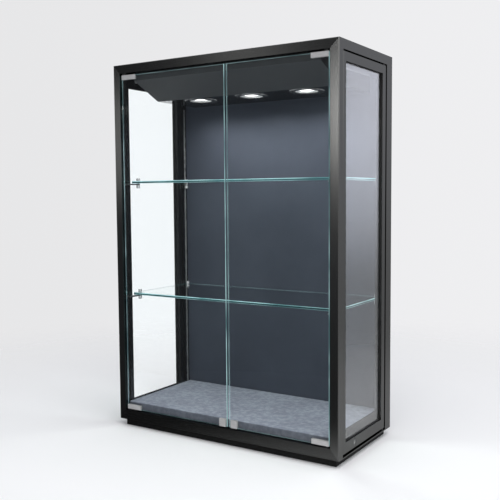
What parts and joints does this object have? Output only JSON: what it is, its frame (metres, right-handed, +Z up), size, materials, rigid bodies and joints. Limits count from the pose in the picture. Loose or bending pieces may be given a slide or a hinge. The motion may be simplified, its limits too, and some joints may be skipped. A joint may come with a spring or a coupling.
{
  "type": "wall display cabinet",
  "caption": "Tall glazed wall display cabinet: dark metal frame on a recessed plinth, pivoting glass front doors, a framed locking side door, glass shelves and a downlit canopy.",
  "frame": {"origin": "middle of the plinth's underside, on the floor or wall line of the base", "axes": "+Z up, the glass doors face -Y, +X to the viewer's right, where the framed side door is"},
  "size_m": [0.6, 0.28, 0.88],
  "materials": {
    "graphite_frame": "dark graphite anodised, satin",
    "graphite_panel_frame": "dark graphite anodised, satin",
    "corner_key_metal": "plain, hidden",
    "black_plinth_board": "black laminate, matt",
    "dark_board": "dark laminate, matt",
    "blue_grey_back_board": "charcoal blue-grey laminate, matt",
    "grey_felt": "speckled grey-blue felt",
    "graphite_sheet": "dark graphite powder coat, semi-gloss",
    "polished_chrome": "polished",
    "bright_reflector": "bright satin",
    "opal_lens": "opal, lit",
    "black_lamp_body": "black anodised",
    "driver_case": "light grey",
    "black_grommet": "matt",
    "clear_glass": "clear float glass, polished edges",
    "black_gasket": "matt",
    "brushed_clip_steel": "brushed",
    "bracket_steel": "bright zinc",
    "spring_steel": "plain",
    "lock_chrome": "satin",
    "cam_steel": "zinc plated",
    "black_nylon": "moulded",
    "clear_pads": "clear moulded"
  },
  "bodies": {
    "cabinet": {"back_panel": "blue_grey_back_board", "base_panel": "dark_board", "cable_grommet": "black_grommet", "deck_board": "dark_board", "deck_felt": "grey_felt", "downlight_bezels": "polished_chrome", "downlight_bodies": "black_lamp_body", "downlight_lenses": "opal_lens", "downlight_reflectors": "bright_reflector", "front_bottom_rail": "graphite_frame", "front_corner_keys": "corner_key_metal", "front_left_post": "graphite_frame", "front_right_post": "graphite_frame", "front_top_rail": "graphite_frame", "latch_housings": "black_nylon", "latch_springs": "spring_steel", "led_driver": "driver_case", "left_panel_gasket": "black_gasket", "left_panel_glass": "clear_glass", "left_panel_rails": "graphite_panel_frame", "left_panel_screws": "bracket_steel", "left_panel_stiles": "graphite_panel_frame", "left_sill": "graphite_frame", "left_top_rail": "graphite_frame", "light_canopy": "graphite_sheet", "lower_shelf": "clear_glass", "panel_stops": "graphite_frame", "pivot_bushes": "black_nylon", "plinth_board": "black_plinth_board", "rear_bottom_rail": "graphite_frame", "rear_left_post": "graphite_frame", "rear_right_post": "graphite_frame", "rear_top_rail": "graphite_frame", "right_sill": "graphite_frame", "right_top_rail": "graphite_frame", "shelf_arms": "bracket_steel", "shelf_clamp_knobs": "polished_chrome", "shelf_clamp_screws": "polished_chrome", "shelf_pads": "clear_pads", "shelf_standards": "bracket_steel", "top_panel": "dark_board", "upper_shelf": "clear_glass"},
    "left_door": {"left_door_glass": "clear_glass", "left_door_clips": "brushed_clip_steel", "left_door_strike": "brushed_clip_steel"},
    "right_door": {"right_door_glass": "clear_glass", "right_door_clips": "brushed_clip_steel", "right_door_strike": "brushed_clip_steel"},
    "side_door": {"side_door_front_stile": "graphite_panel_frame", "side_door_rear_stile": "graphite_panel_frame", "side_door_top_rail": "graphite_panel_frame", "side_door_bottom_rail": "graphite_panel_frame", "side_door_glass": "clear_glass", "side_door_gasket": "black_gasket", "side_door_pins": "bracket_steel", "lock_housing": "lock_chrome"},
    "lock_barrel": {"lock_plug": "lock_chrome", "lock_cam": "cam_steel"},
    "left_latch": {"left_latch_plunger": "black_nylon"},
    "right_latch": {"right_latch_plunger": "black_nylon"}
  },
  "joints": [
    {"name": "left_door_pivot", "type": "hinge", "parent": "cabinet", "child": "left_door", "pos_m": [-0.27, -0.1339, 0.0435], "axis": [0, 0, -1], "range_deg": [0, 110]},
    {"name": "right_door_pivot", "type": "hinge", "parent": "cabinet", "child": "right_door", "pos_m": [0.27, -0.1339, 0.0435], "axis": [0, 0, 1], "range_deg": [0, 110]},
    {"name": "side_door_pivot", "type": "hinge", "parent": "cabinet", "child": "side_door", "pos_m": [0.2945, 0.0995, 0.0236], "axis": [0, 0, 1], "range_deg": [0, 105]},
    {"name": "lock_turn", "type": "hinge", "parent": "side_door", "child": "lock_barrel", "pos_m": [0.285, -0.06, 0.0353], "axis": [-1, 0, 0], "range_deg": [0, 90]},
    {"name": "left_latch_push", "type": "slide", "parent": "cabinet", "child": "left_latch", "axis": [0, 1, 0], "range_m": [0, 0.003], "stiffness_N_per_m": 300, "springref_m": -0.002},
    {"name": "right_latch_push", "type": "slide", "parent": "cabinet", "child": "right_latch", "axis": [0, 1, 0], "range_m": [0, 0.003], "stiffness_N_per_m": 300, "springref_m": -0.002}
  ]
}
